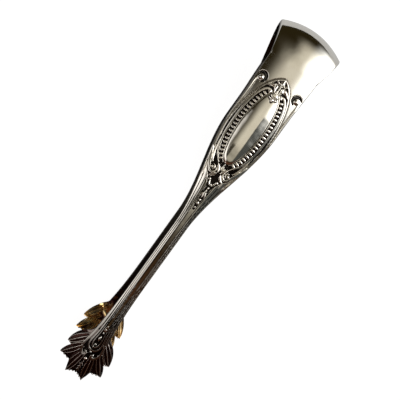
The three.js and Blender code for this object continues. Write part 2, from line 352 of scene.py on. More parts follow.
# Sunk field below the cartouche, between the scrolls and down the V of the shank: place and half width
FIELD_LINE = np.array([
    (42.9, 0), (43.0, 4.3), (44.5, 4.0), (46.0, 3.3), (47.0, 2.2), (48.0, 1.75), (49.0, 1.2), (50.0, 0.85),
    (52.0, 0.86), (53.0, 0.72), (55.2, 0.6), (56.6, 0.4),
])
FIELD_START, FIELD_END = FIELD_LINE[[0, -1], 0]
FIELD_BANK = 0.2


def sunk_field(r):
    field = np.interp(r.x, FIELD_LINE[:, 0], FIELD_LINE[:, 1], right=0)
    in_field = (r.y < field) & (r.x > FIELD_START) & (r.x < FIELD_END)
    r.rise = np.where(in_field, GROUND * smooth(0, FIELD_BANK, field - r.y), r.rise)


# Grooves between the reeds of the shank, as shares of its half width, and where they run on into the tongue.
# The last one bounds the hollow.
SHANK_IN = (46.2, 50.0)
TONGUE_IN = (95.5, 97.0)
REED_GROOVES = (0.80, 0.56, 0.29)
TONGUE_GROOVES = (0.64, 0.38, 0.21)
FLOW_TO_TONGUE = (80.0, 95.0)
OUTER_REED_EDGE = 1.06
REED_HEIGHT = 0.012
REED_GROOVE_HALF = 0.105
TONGUE_GROOVE_HALF = 0.16
REED_GROOVE_DEPTH = 0.42
EDGE_FALL = 0.15
EDGE_FALL_START = 0.9
HOLLOW_DEPTH = 0.05
SUNK = GROUND / 2


def shank(r, w):
    fade = smooth(*SHANK_IN, r.x) * (1 - smooth(*TONGUE_IN, r.x))
    share = r.y / w
    flow = smooth(*FLOW_TO_TONGUE, r.x)
    grooves = [lerp(reed, tongue_line, flow) for reed, tongue_line in zip(REED_GROOVES, TONGUE_GROOVES)]
    groove_half = lerp(REED_GROOVE_HALF, TONGUE_GROOVE_HALF, flow)
    shape = np.zeros_like(share)
    for outer_edge, inner_edge in zip([OUTER_REED_EDGE, *grooves], grooves):
        across = (share - (outer_edge + inner_edge) / 2) / ((outer_edge - inner_edge) / 2)
        on_reed = (share <= outer_edge) & (share > inner_edge)
        shape = np.where(on_reed, REED_HEIGHT * (1 - across ** 2), shape)
    hollow = share < grooves[-1]
    shape = np.where(hollow, -HOLLOW_DEPTH * (1 - (share / grooves[-1]) ** 2), shape)
    shape = shape - EDGE_FALL * w * np.clip(share - EDGE_FALL_START, 0, None)
    for groove in grooves:
        across = smooth(0, STRAP_EDGE, 1 - np.abs(share - groove) * w / groove_half)
        shape = shape - REED_GROOVE_DEPTH * across
    plain = (r.rise > SUNK) | (r.x > FIELD_END)
    r.rise = np.where((fade > 0) & plain, lerp(r.rise, shape, fade), r.rise)


SHANK_CROWN_RADIUS = 9.0
TONGUE_CROWN_RADIUS = 13.0
SHANK_CROWN_IN = (44.0, 54.0)
TONGUE_CROWN_IN = (95.0, 102.0)


def shank_crown(x, y):
    """Extra roundness across the shank and the tongue."""
    radius = lerp(SHANK_CROWN_RADIUS, TONGUE_CROWN_RADIUS, smooth(*TONGUE_CROWN_IN, x))
    return crown_drop(y, radius) * smooth(*SHANK_CROWN_IN, x)


VOLUTE_RING = [(18.5, 6.5), (18.05, 5.9), (18.05, 5.2), (18.5, 4.6), (19.2, 4.35), (19.9, 4.5), (20.4, 5.0)]
VOLUTE_RING_HALVES = [0.2, 0.45, 0.55, 0.55, 0.55, 0.4, 0.2]
VOLUTE_RING_DEPTH = -0.6
VOLUTE_EYE = ((19.4, 5.6), 0.84, 0.8, 0.42)
VOLUTE_EYE_FOOT = -0.55


def shoulder_volute(r):
    """A round eye in a deep ring, at the shoulder beside the crest."""
    r.cut(VOLUTE_RING, VOLUTE_RING_HALVES, VOLUTE_RING_DEPTH)
    r.boss(*VOLUTE_EYE, VOLUTE_EYE_FOOT, BEAD_ROUND)


CREST_KNOP = ([(17.0, 0), (17.9, 0), (18.9, 0)], [0.2, 0.6, 0.86, 0.7, 0.3], 0.44)
CREST_LEAFLET = ([(18.3, 0.9), (18.05, 1.25), (17.95, 1.7)], [0.28, 0.3, 0.12], 0.26)
CREST_STALK = ([(18.7, 0), (19.8, 0), (20.9, 0)], [0.24, 0.26, 0.3, 0.46], 0.36)
CREST_PETAL = (
    [(20.75, 0.6), (20.0, 0.86), (19.3, 1.15), (19.25, 1.8), (19.6, 2.5), (20.0, 3.0)],
    [0.2, 0.4, 0.74, 0.6, 0.4, 0.2],
    0.36,
)
PETAL_DIMPLE = ((19.25, 1.2), 0.4, 0.34, 0.2)
CREST_COLLAR = ((21.15, 0), 0.42, 0.74, 0.06)
BEAD_BAND = (
    [
        (20.75, 1.8), (20.75, 2.45), (21.3, 3.1), (22.4, 3.76), (24.3, 4.42), (27.0, 4.92), (30.0, 5.08),
        (33.0, 5.06), (36.0, 4.84), (38.5, 4.34), (40.4, 3.66), (41.8, 2.8), (42.9, 1.8),
    ],
    [0.36, 0.42, 0.42, 0.42, 0.42, 0.42, 0.42, 0.42, 0.4, 0.36, 0.34, 0.3, 0.18],
    0.24,
)
BAND_LEAF = (
    [(37.0, 4.95), (39.4, 4.56), (41.2, 4.15), (42.7, 3.6), (43.6, 3.05)],
    [0.08, 0.2, 0.32, 0.38, 0.2],
    0.2,
)
BAND_CURL = ((21.05, 1.62), 0.66, 0.66, 0.32)
BAND_EYE = ((21.2, 1.68), 0.36, 0.36, 0.44)


def crest(r):
    """Knop and petals at the head of the cartouche, and the band round the beads, which curls in below."""
    r.thread(*CREST_KNOP, power=PEAKED)
    r.thread(*CREST_LEAFLET)
    r.thread(*CREST_STALK)
    r.thread(*CREST_PETAL)
    r.dimple(*PETAL_DIMPLE)
    r.boss(*CREST_COLLAR, power=BEAD_ROUND)
    r.strap(*BEAD_BAND)
    r.thread(*BAND_LEAF)
    r.boss(*BAND_CURL, power=BEAD_ROUND)
    r.boss(*BAND_EYE, power=BEAD_ROUND)


# Plain wire between the plaque and the beads, open at the crest and at the foot
WIRE_CLEARANCE = 0.22
WIRE_HALF = 0.2
WIRE_TOP = 0.3
WIRE_OPEN_AT_CREST = 0.3
WIRE_OPEN_AT_FOOT = 0.25
WIRE_POINTS = 14


def round_plaque(turn, outwards):
    """Points outside the plaque's rim, from the crest by one side to the foot, and back by the other."""
    x = MEDALLION_MIDDLE - (PLAQUE_LENGTH / 2 + outwards) * np.cos(turn)
    return x, (PLAQUE_WIDTH / 2 + outwards) * np.sin(turn)


def plaque_wire(r):
    turn = np.linspace(WIRE_OPEN_AT_CREST, math.pi - WIRE_OPEN_AT_FOOT, WIRE_POINTS)
    path = np.stack(round_plaque(turn, WIRE_CLEARANCE), 1)
    r.thread(path, [WIRE_HALF, WIRE_HALF], WIRE_TOP, power=WIRE_ROUND)


# Crescent and drops that hang over the end of the plaque, with how far each stays below the highest
PENDANT_FOOT = 0.5
PENDANT_TOP = 0.88
CRESCENT = [(21.72, 0.95), (22.02, 0.5), (22.12, 0)]
CRESCENT_HALVES = [0.14, 0.19, 0.19]
CRESCENT_LOWER = 0.1
PLAQUE_DROPS = [
    ((22.72, 0), 0.46, 0.5, 0.0),
    ((23.05, 0), 0.42, 0.3, 0.0),
    ((22.5, 0.7), 0.3, 0.34, 0.06),
    ((22.4, 1.12), 0.2, 0.22, 0.14),
]


def plaque_pendant(r, grow, foot, top):
    """The crescent and drops, with their half sizes grown."""
    r.thread(CRESCENT, [half + grow for half in CRESCENT_HALVES], top - CRESCENT_LOWER, foot)
    for centre, length, width, lower in PLAQUE_DROPS:
        r.boss(centre, length + grow, width + grow, top - lower, foot)


SCROLL_STEM = (
    [
        (40.3, 5.4), (42.0, 4.85), (43.4, 4.1), (44.6, 3.45), (45.55, 2.95), (46.05, 2.3), (45.8, 1.55),
        (45.15, 1.15), (44.5, 1.25),
    ],
    [0.36, 0.54, 0.62, 0.56, 0.44, 0.36, 0.34, 0.3, 0.2],
    0.3,
)
SCROLL_CURL = (
    [(45.35, 2.0), (45.0, 1.8), (44.6, 1.74), (44.2, 1.95), (44.0, 2.4)],
    [0.14, 0.26, 0.3, 0.28, 0.14],
    0.36,
)
SCROLL_EYE = ((44.78, 2.52), 0.46, 0.46, 0.46)
FOOT_KNOP = ([(42.6, 0.0), (43.2, 0.0), (44.4, 0.0)], [0.3, 0.48, 0.16], 0.4)
FOOT_LEAF = ([(45.15, 0.42), (44.5, 0.62), (43.9, 1.0), (43.25, 1.6)], [0.26, 0.46, 0.54, 0.24], 0.44)
LOWER_LEAF = ([(45.6, 0.7), (46.2, 1.0), (46.75, 1.55), (46.95, 2.1)], [0.3, 0.5, 0.46, 0.16], 0.32)


def scrolls(r):
    """Scrolls at the foot of the cartouche, with the knop and leaves between them."""
    r.strap(*SCROLL_STEM)
    r.boss(*SCROLL_EYE, power=BEAD_ROUND)
    for leaf in (SCROLL_CURL, FOOT_KNOP, FOOT_LEAF, LOWER_LEAF):
        r.thread(*leaf)


HUSK_BEADS = [
    ((47.7, 1.1), 0.48, 0.46, 0.44),
    ((48.85, 0), 0.38, 0.5, 0.4),
    ((49.97, 0), 0.4, 0.4, 0.38),
    ((53.55, 0), 0.4, 0.4, 0.36),
    ((55.85, 0), 0.32, 0.3, 0.3),
]
HUSK_DROP = ((54.6, 0), 0.54, 0.44, 0.36)
HUSK_LEAVES = [
    ([(48.0, 0.84), (48.5, 0.66), (48.95, 0.45)], [0.24, 0.36, 0.28], 0.38),
    ([(50.7, 0.0), (51.4, 0.0), (52.7, 0.0)], [0.3, 0.6, 0.26], 0.42),
    ([(51.5, 0.34), (52.1, 0.52), (52.7, 0.64)], [0.18, 0.24, 0.14], 0.32),
]


def husks(r):
    """Husks and beads that hang down the V of the shank."""
    for bead in HUSK_BEADS:
        r.boss(*bead, power=BEAD_ROUND)
    r.boss(*HUSK_DROP, power=LONG_DROP_ROUND)
    for leaf in HUSK_LEAVES:
        r.thread(*leaf)


TONGUE_HOOK = (
    [
        (95.0, 1.95), (97.0, 2.13), (99.0, 2.4), (100.6, 2.64), (102.0, 2.8), (103.1, 2.62), (103.95, 2.14),
        (104.3, 1.55), (104.15, 1.05), (103.7, 0.85),
    ],
    [0.33, 0.36, 0.39, 0.42, 0.45, 0.48],
)
TONGUE_LOOP = (
    [
        (95.0, 1.18), (97.0, 1.3), (99.0, 1.56), (100.2, 1.68), (101.1, 1.55), (101.8, 1.12), (102.15, 0.55),
        (102.25, 0),
    ],
    [0.2, 0.22, 0.25, 0.28, 0.32],
)
TONGUE_INNER_LOOP = (
    [(95.0, 0.65), (97.0, 0.72), (99.0, 0.92), (100.0, 0.92), (100.7, 0.7), (101.1, 0.35), (101.2, 0)],
    [0.15, 0.17, 0.19, 0.21, 0.24],
)
TONGUE_DROPS = [
    ((94.6, 0), 0.3, 0.26, 0.04),
    ((95.6, 0), 0.34, 0.3, 0.08),
    ((96.75, 0), 0.34, 0.3, 0.1),
    ((98.45, 0), 0.9, 0.38, 0.02),
    ((100.3, 0), 0.38, 0.36, 0.12),
    ((102.75, 0), 0.42, 0.4, 0.2),
    ((103.4, 1.12), 0.46, 0.42, 0.18),
]
NOTCH = ((104.7, 0), 0.7, 0.45)
NOTCH_STEEPNESS = 3
NOTCH_DEPTH = -0.7


def tongue(r):
    """Two loops and a pair of hooks over the leaf, with drops between them and a notch at the end."""
    fade = smooth(*TONGUE_IN, r.x)
    r.rise = np.where(fade > 0, lerp(r.rise, GROUND, fade), r.rise)
    for path, halves in (TONGUE_HOOK, TONGUE_LOOP, TONGUE_INNER_LOOP):
        r.strap(path, halves, TONGUE_TOP)
    for drop in TONGUE_DROPS:
        r.boss(*drop)
    r.sink(np.clip(r.oval(*NOTCH) * NOTCH_STEEPNESS, 0, 1), NOTCH_DEPTH)


# Meshes

SHARP_ANGLE = 70


def build(name, verts, faces, patina_and_shade, gilding, material):
    mesh = bpy.data.meshes.new(name)
    mesh.from_pydata(verts.reshape(-1, 3).tolist(), [], faces)
    # The patina attribute holds real patina and painted shade; the gilding attribute marks the gold.
    for label, values in (("patina_and_shade", patina_and_shade), ("gilding", gilding)):
        attribute = mesh.attributes.new(label, "FLOAT", "POINT")
        attribute.data.foreach_set("value", values.astype(np.float32).ravel())
    mesh.materials.append(material)
    mesh.polygons.foreach_set("use_smooth", np.ones(len(mesh.polygons), bool))
    mesh.set_sharp_from_angle(angle=math.radians(SHARP_ANGLE))
    mesh.validate()
    obj = bpy.data.objects.new(name, mesh)
    bpy.context.scene.collection.objects.link(obj)
    return obj


def tube_faces(rows, columns):
    """Faces round a tube of rows of points, with its two ends capped."""
    i = np.arange(rows - 1)[:, None]
    j = np.arange(columns)[None, :]
    k = (j + 1) % columns
    quads = np.stack([i * columns + j, i * columns + k, (i + 1) * columns + k, (i + 1) * columns + j], -1)
    faces = quads.reshape(-1, 4).tolist()
    faces.append(list(range(columns))[::-1])
    faces.append(list(range((rows - 1) * columns, rows * columns)))
    return faces


# Points across a strip: its outer field, each rounded outer edge, its inner face and each inner edge
FIELD_COLUMNS = 181
EDGE_COLUMNS = 11
INNER_COLUMNS = 15
INNER_EDGE_COLUMNS = 5
INNER_ROUND = 0.25
INNER_ROUND_SHARE = 0.2


def section(half, r_out, r_drop):
    """Ring across a strip: y, whether a point is on the inner face, and how far its edge is rounded down."""
    r_in = min(INNER_ROUND, half * INNER_ROUND_SHARE)
    arc = np.linspace(0, math.pi / 2, EDGE_COLUMNS)[1:]
    small = np.linspace(0, math.pi / 2, INNER_EDGE_COLUMNS)[1:]
    field = np.linspace(-1, 1, FIELD_COLUMNS) * (half - r_out)
    back = np.linspace(1, -1, INNER_COLUMNS)[1:-1] * (half - r_in)
    right = half - r_out + r_out * np.sin(arc)
    under = half - r_in + r_in * np.cos(small)
    y = np.concatenate([field, right, under, back, -under[::-1], -right[::-1]])
    fall = r_drop * (1 - np.cos(arc))
    lift = -r_in * (1 - np.sin(small))
    drop = np.concatenate([0 * field, fall, lift, 0 * back, lift[::-1], fall[::-1]])
    outer_count = len(field) + len(arc)
    inner = np.zeros(len(y), bool)
    inner[outer_count:len(y) - len(arc)] = True
    return y, inner, drop


def rings(halves, rounds, drops):
    sections = [section(*sizes) for sizes in zip(halves, rounds, drops)]
    return [np.array(part) for part in zip(*sections)]


# Stretches of an arm and the step between its rings there: fine over ornament, and coarse over plain metal
ORNAMENT_STEP = 0.075
BAND_STEP = 0.17
PLAIN_STEP = 0.3
STRETCHES = [
    (SHOULDER, 16.0, PLAIN_STEP),
    (16.0, 24.5, ORNAMENT_STEP),
    (24.5, 41.5, BAND_STEP),
    (41.5, 57.5, ORNAMENT_STEP),
    (57.5, 92.5, PLAIN_STEP),
    (92.5, TONGUE_END, ORNAMENT_STEP),
]

# Rounding of an arm's outer edges at places along it: reach inwards, and drop
ROUND_PLACES = [13, 20, 44, 52, 92, 97, 101, TONGUE_END]
ROUNDS = [0.28, 0.3, 0.34, 0.17, 0.17, 0.3, 0.42, 0.3]
ROUND_DROPS = [0.28, 0.3, 0.34, 0.2, 0.2, 0.34, 0.36, 0.3]
MOST_ROUND_SHARE = 0.34

# Painted shade on the inside of the bow and arms, clearing where the gilding of the leaf begins
INNER_PAINTED_SHADE = 0.96
TONGUE_CLEARING = 0.4
TONGUE_CLEARING_IN = (98.0, 101.0)
TONGUE_GILDING_IN = (95.0, 100.0)


def arm_stations():
    stations = [np.arange(start, end - step / 2, step) for start, end, step in STRETCHES]
    return np.concatenate([*stations, [TONGUE_END]])


def make_arm(prefix, side, material):
    x = arm_stations()
    half = half_width(x)
    round_out = np.minimum(np.interp(x, ROUND_PLACES, ROUNDS), MOST_ROUND_SHARE * half)
    y, inner, drop = rings(half, round_out, np.interp(x, ROUND_PLACES, ROUND_DROPS))
    x = np.repeat(x[:, None], y.shape[1], 1)
    rise, patina_and_shade = arm_relief(x, y)
    plain = outer_line(x) - crown_drop(y)
    z = np.where(inner, plain - arm_thickness(x) - drop, plain + rise - drop)
    points = place(np.stack([x, y, z], -1), side)
    # Painted shade on the inner face, lighter towards the gilded leaf.
    inner_shade = INNER_PAINTED_SHADE * (1 - TONGUE_CLEARING * smooth(*TONGUE_CLEARING_IN, x))
    patina_and_shade = np.where(inner, inner_shade, patina_and_shade)
    gilding = np.where(inner, smooth(*TONGUE_GILDING_IN, x), 0)
    obj = build(f"{prefix}_arm_relief", points, tube_faces(*x.shape), patina_and_shade, gilding, material)
    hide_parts(f"{prefix}_arm")
    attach(obj, f"{prefix}_arm")


BOW_ROWS = 70
BOW_ROUND = 0.28


def make_bow_half(prefix, side, material):
    turn = np.linspace(0, math.pi / 2, BOW_ROWS)
    halves = lerp(SHOULDER_WIDTH, BOW_WIDTH, np.cos(turn)) / 2
    rounds = np.full(BOW_ROWS, BOW_ROUND)
    y, inner, drop = rings(halves, rounds, rounds)
    turn = np.repeat(turn[:, None], y.shape[1], 1)
    crown = lerp(CROWN_RADIUS, CREST_CROWN_RADIUS, np.cos(turn))
    radius = ARM_REACH - crown_drop(y, crown) - np.where(inner, BOW_SHEET, 0) - drop
    points = place(np.stack([SHOULDER - radius * np.cos(turn), y, radius * np.sin(turn)], -1), side)
    # Painted shade on the inner face of the bow.
    patina_and_shade = np.where(inner, INNER_PAINTED_SHADE, 0)
    obj = build(f"{prefix}_bow_half", points, tube_faces(*y.shape), patina_and_shade, 0 * y, material)
    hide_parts("bow_spring")
    crest_point = place((0, 0, 0), side)
    shoulder_point = place((SHOULDER, 0, ARM_REACH), side)
    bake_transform(obj)


# Plaque: crowned across, domed down to its two ends and rounded at its rim
PLAQUE_SIDES = 320
PLAQUE_RINGS = 84
PLAQUE_FIRST_RING = 0.01
PLAQUE_CROWN = 6.5
PLAQUE_DOME = 0.62
PLAQUE_DOME_FOOT = 0.28
PLAQUE_DOME_RUN = (0.35, 1.1)
PLAQUE_RIM = 0.1
PLAQUE_RIM_START = 0.9
PLAQUE_RIM_RINGS = 9
PLAQUE_RIM_FIRST_TURN = 0.2
PLAQUE_RIM_DROP = 0.3
PLAQUE_RIM_STAIN = 0.985
PLAQUE_SEAT = 0.1

# Stained dip round the pendant on the plaque
PENDANT_MARGIN = 0.17
PENDANT_DIP = 0.05
PENDANT_DIP_EDGE = 0.3


def plaque_top(x, y):
    u = np.hypot((x - MEDALLION_MIDDLE) / (PLAQUE_LENGTH / 2), y / (PLAQUE_WIDTH / 2))
    end = np.abs(x - MEDALLION_MIDDLE) / (PLAQUE_LENGTH / 2)
    dome = np.where(x < MEDALLION_MIDDLE, PLAQUE_DOME, PLAQUE_DOME_FOOT)
    over_rim = np.clip(u - PLAQUE_RIM_START, 0, PLAQUE_RIM) / PLAQUE_RIM
    rounded = PLAQUE_RIM_DROP * (1 - np.sqrt(np.clip(1 - over_rim ** 2, 0, 1)))
    return PLAQUE_TABLE - crown_drop(y, PLAQUE_CROWN) - dome * smooth(*PLAQUE_DOME_RUN, end) - rounded


def make_plaque(prefix, side, material):
    turn = np.linspace(0, 2 * math.pi, PLAQUE_SIDES, endpoint=False)
    table = np.linspace(PLAQUE_FIRST_RING, PLAQUE_RIM_START, PLAQUE_RINGS)
    rim_turn = np.linspace(PLAQUE_RIM_FIRST_TURN, math.pi / 2, PLAQUE_RIM_RINGS)
    share = np.concatenate([table, PLAQUE_RIM_START + PLAQUE_RIM * np.sin(rim_turn), [1.0]])
    u, a = np.meshgrid(share, turn, indexing="ij")
    x = MEDALLION_MIDDLE + PLAQUE_LENGTH / 2 * u * np.cos(a)
    y = PLAQUE_WIDTH / 2 * u * np.sin(a)
    margin = Relief(x, y)
    plaque_pendant(margin, PENDANT_MARGIN, 0.0, 1.0)
    under_pendant = smooth(0.0, PENDANT_DIP_EDGE, margin.rise)
    z = plaque_top(x, y) - PENDANT_DIP * under_pendant
    z[-1] = ARM_REACH - crown_drop(y[-1]) + GROUND - PLAQUE_SEAT
    patina_and_shade = np.maximum(under_pendant, smooth(PLAQUE_RIM_STAIN, 1.0, share)[:, None])
    points = place(np.stack([x, y, z], -1), side)
    obj = build(f"{prefix}_plaque_cushion", points, tube_faces(*x.shape), patina_and_shade, 0 * patina_and_shade, material)
    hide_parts(f"{prefix}_monogram_plaque")
    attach(obj, f"{prefix}_arm")


# Beads: rounded squares, longer across the row than along it
BEAD_SIDES = 16
BEAD_LONG = 0.31
BEAD_ACROSS = 0.52
BEAD_SQUARE = 3.0
# Rings of a bead from its foot to its top: share of its width, and height above the arm
BEAD_PROFILE = [
    (0.8, -0.3), (0.96, -0.12), (1.0, 0.12), (0.98, 0.24), (0.92, 0.31), (0.82, 0.34), (0.6, 0.355),
    (0.3, 0.362),
]
BEAD_STAIN_FOOT = -0.1
BEAD_STAIN_TOP = 0.14
BEAD_SPREAD = BEAD_CLEARANCE + BEAD_RADIUS
BEAD_FIRST = 21.9
BEAD_LAST = 42.6
ROW_STEPS = 4001
ROW_AHEAD = 0.01

# Thin wire that runs through the beads, open at the crest and at the foot
NECK_RADIUS = 0.22
NECK_SINK = 0.12
NECK_SIDES = 8
NECK_STEPS = 120
NECK_OPEN_AT_CREST = 0.62
NECK_OPEN_AT_FOOT = 0.36


def bead_row():
    """Bead centres at even steps round the plaque, with the direction of the row at each."""
    row = round_plaque(np.linspace(0, 2 * math.pi, ROW_STEPS), BEAD_SPREAD)
    length = np.concatenate([[0], np.cumsum(np.hypot(*np.diff(row)))])
    at = (np.arange(BEAD_COUNT) + 0.5) / BEAD_COUNT * length[-1]
    points = np.stack([np.interp(at, length, line) for line in row], 1)
    beyond = np.stack([np.interp(at + ROW_AHEAD, length, line) for line in row], 1)
    ahead = beyond - points
    return points, ahead / np.linalg.norm(ahead, axis=1, keepdims=True)


def bead_mesh():
    turn = np.linspace(0, 2 * math.pi, BEAD_SIDES, endpoint=False)
    flat = 2 / BEAD_SQUARE
    along = np.sign(np.cos(turn)) * np.abs(np.cos(turn)) ** flat * BEAD_LONG
    across = np.sign(np.sin(turn)) * np.abs(np.sin(turn)) ** flat * BEAD_ACROSS
    levels = [(share * along, share * across, 0 * turn + height) for share, height in BEAD_PROFILE]
    return np.array([np.stack(level, 1) for level in levels])


def neck_mesh(sign):
    """The thin wire on one side of the plaque."""
    turn = np.linspace(NECK_OPEN_AT_CREST, math.pi - NECK_OPEN_AT_FOOT, NECK_STEPS)[:, None]
    round_wire = np.linspace(0, 2 * math.pi, NECK_SIDES, endpoint=False)[None, :]
    x, y = round_plaque(turn, BEAD_SPREAD + NECK_RADIUS * np.cos(round_wire))
    z = ARM_REACH - crown_drop(y) - NECK_SINK + sign * NECK_RADIUS * np.sin(round_wire)
    return np.stack([x, sign * y, z], -1)


def make_beads(prefix, side, material):
    bead = bead_mesh()
    along, across, height = bead.reshape(-1, 3).T
    bead_faces = tube_faces(*bead.shape[:2])
    verts, faces, patina_and_shade = [], [], []

    def add(points, new_faces, darkening):
        start = sum(len(v) for v in verts)
        faces.extend([i + start for i in face] for face in new_faces)
        verts.append(points)
        patina_and_shade.append(darkening)

    for (x, y), (dx, dy) in zip(*bead_row()):
        if BEAD_FIRST < x < BEAD_LAST:
            px = x + along * dx - across * dy
            py = y + along * dy + across * dx
            points = np.stack([px, py, ARM_REACH - crown_drop(py) + height], 1)
            add(points, bead_faces, smooth(BEAD_STAIN_TOP, BEAD_STAIN_FOOT, height))
    for sign in (1, -1):
        wire = neck_mesh(sign)
        add(wire.reshape(-1, 3), tube_faces(*wire.shape[:2]), np.ones(wire.shape[0] * wire.shape[1]))
    patina_and_shade = np.concatenate(patina_and_shade)
    obj = build(f"{prefix}_bead_row", place(np.vstack(verts), side), faces, patina_and_shade, 0 * patina_and_shade, material)
    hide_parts(f"{prefix}_beaded_wire")
    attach(obj, f"{prefix}_arm")


# Lobes of half the leaf: the control point of the full side, the tip, and the notch before the next lobe
LOBES = np.array([
    ((100.39, 6.365), (104.71, 6.7), (105.07, 5.226)),
    ((106.69, 6.4), (108.71, 6.6), (108.99, 3.216)),
    ((110.0, 3.015), (112.0, 2.5), (110.6, 0.0)),
])
HEART = np.array([LEAF_HEART, 0])
LEAF_TEETH = 3
TOOTH_DEPTH = 0.4
ROOT_INSET = 0.25
SPRING_INSET = 0.1
ROOT_STEPS = 16
LOBE_STEPS = 100
CUT_STEPS = 72
LEAF_SOFTENING = 40


def leaf_half():
    """Outline of half the leaf from its root to the notch on the centre line."""
    root = np.array([LEAF_START, float(half_width(LEAF_START)) - ROOT_INSET])
    start = np.array([LEAF_SPRING, float(half_width(LEAF_SPRING)) - SPRING_INSET])
    outline = [root + (start - root) * t for t in np.linspace(0, 1, ROOT_STEPS, endpoint=False)]
    for fullness, tip, notch in LOBES:
        for t in np.linspace(0, 1, LOBE_STEPS, endpoint=False):
            outline.append((1 - t) ** 2 * start + 2 * t * (1 - t) * fullness + t * t * tip)
        for t in np.linspace(0, 1, CUT_STEPS, endpoint=False):
            at = tip + (notch - tip) * t
            inwards = (HEART - at) / np.linalg.norm(HEART - at)
            outline.append(at + inwards * TOOTH_DEPTH * abs(math.sin(math.pi * LEAF_TEETH * t)))
        start = notch
    outline = np.array([*outline, start])
    for _ in range(LEAF_SOFTENING):
        outline[1:-1] = (outline[:-2] + 2 * outline[1:-1] + outline[2:]) / 4
    return outline


# Ground of the leaf, which sinks away from the tongue along a slanting line
LEAF_GROUND = -0.45
LEAF_GROUND_IN = (101.5, 103.5)
LEAF_GROUND_SLANT = 0.8
# Middle line of each lobe from the tongue to its tip, and its half width along the way
LOBE_RIBS = [
    ([(99.2, 2.4), (101.5, 4.3), (103.2, 5.5), (104.6, 6.55)], [1.0, 1.4, 1.2, 0.3]),
    ([(102.4, 2.6), (105.0, 4.3), (107.0, 5.5), (108.6, 6.45)], [0.9, 1.5, 1.25, 0.3]),
    ([(104.0, 1.3), (107.0, 1.9), (109.6, 2.3), (111.9, 2.48)], [0.9, 1.45, 1.3, 0.3]),
]
LOBE_TOP = -0.12
# Ridges on each lobe: place across it as a share of its half width, height, and size
FLUTES = [(-0.68, 0.14, 0.9), (0.0, 0.30, 1.0), (0.68, 0.14, 0.9)]
FLUTE_HALVES = [0.16, 0.23, 0.22, 0.14]
FLUTE_STRIDE = 6
MIDDLE_LOBE = ([(105.9, 0.0), (108.0, 0.0), (110.5, 0.0)], [0.3, 0.56, 0.3], 0.0)
MIDDLE_RIB = ([(106.2, 0.0), (108.2, 0.0), (110.4, 0.0)], [0.16, 0.18, 0.1], 0.24)
VEIN_STARTS = (106.9, 107.9, 108.9)
VEIN = [(0, 0.1), (0.35, 0.35), (0.55, 0.62)]
VEIN_HALVES = [0.12, 0.17, 0.1]
VEIN_TOP = 0.14
TOOTH_BEAD = 0.32
TOOTH_BEAD_INSET = 0.5
TOOTH_BEAD_TOP = 0.2
LEAF_KNOP = ((105.25, 0), 0.55, 0.5, 0.4)
LEAF_KNOP_FOOT = -0.1


def leaf_relief(x, y):
    r = Relief(x, y)
    r.rise = np.full_like(x, LEAF_GROUND) * smooth(*LEAF_GROUND_IN, x + LEAF_GROUND_SLANT * np.abs(y))
    for path, halves in LOBE_RIBS:
        r.thread(path, halves, LOBE_TOP, LEAF_GROUND)
    for path, halves in LOBE_RIBS:
        flutes(r, path, halves)
    middle_lobe(r)
    tooth_beads(r)
    r.boss(*LEAF_KNOP, LEAF_KNOP_FOOT, BEAD_ROUND)
    return r.rise


def flutes(r, path, halves):
    """Ridges that run along a lobe, spread over its width."""
    line = spline(path)
    step = np.gradient(line, axis=0)
    normal = np.stack([-step[:, 1], step[:, 0]], 1) / np.linalg.norm(step, axis=1, keepdims=True)
    width = np.interp(np.linspace(0, 1, len(line)), np.linspace(0, 1, len(halves)), halves)[:, None]
    for offset, height, size in FLUTES:
        ridge = line + normal * width * offset
        r.thread(ridge[::FLUTE_STRIDE], [half * size for half in FLUTE_HALVES], height, LEAF_GROUND)


def middle_lobe(r):
    """The narrow lobe on the centre line, with its rib and veins."""
    r.thread(*MIDDLE_LOBE, LEAF_GROUND)
    r.thread(*MIDDLE_RIB, LEAF_GROUND)
    for start in VEIN_STARTS:
        r.thread([(start + along, across) for along, across in VEIN], VEIN_HALVES, VEIN_TOP, LEAF_GROUND)


def tooth_beads(r):
    """A small bead inside each tooth of the lobes."""
    for _, tip, notch in LOBES:
        for tooth in range(LEAF_TEETH):
            at = lerp(tip, notch, tooth / LEAF_TEETH)
            at = at + TOOTH_BEAD_INSET * (HEART - at) / np.linalg.norm(HEART - at)
            r.boss(at, TOOTH_BEAD, TOOTH_BEAD, TOOTH_BEAD_TOP, LEAF_GROUND, BEAD_ROUND)


# Rings of the leaf from its heart to the start of its rim, and then over the rim
LEAF_RINGS = 82
LEAF_RIM_RINGS = 8
LEAF_FIRST_RING = 0.01
LEAF_RIM_START = 0.9
LEAF_ROOT_POINTS = 12

# Thickness: the outer face falls at its very edge, and the inner face closes up to it towards the rim
LEAF_BELOW_ARM = 0.42
LEAF_ROOT_SHEET = 1.3
LEAF_SHEET_IN = (96.0, 101.0)
LEAF_RIM = 0.34
LEAF_RIM_POWER = 4
LEAF_EDGE_FALL = 0.12
LEAF_EDGE_POWER = 16
LEAF_INNER_RELIEF = 0.8
LEAF_INNER_IN = (95.0, 98.0)

# Patina outside in the hollows, and painted shade inside at the root and in the valleys between the ribs
LEAF_STAIN = (-0.12, 0.27)
ROOT_PAINTED_SHADE = 0.97
ROOT_SHADE_OUT = (97.0, 100.5)
VALLEY_PAINTED_SHADE = 0.85
VALLEY_SHADE_HEIGHTS = (-0.32, 0.0)


def leaf_outline():
    half = leaf_half()
    mirrored = half[:-1] * (1, -1)
    root = np.linspace(half[0], mirrored[0], LEAF_ROOT_POINTS)[1:-1]
    return np.vstack([half, mirrored[::-1], root[::-1]])


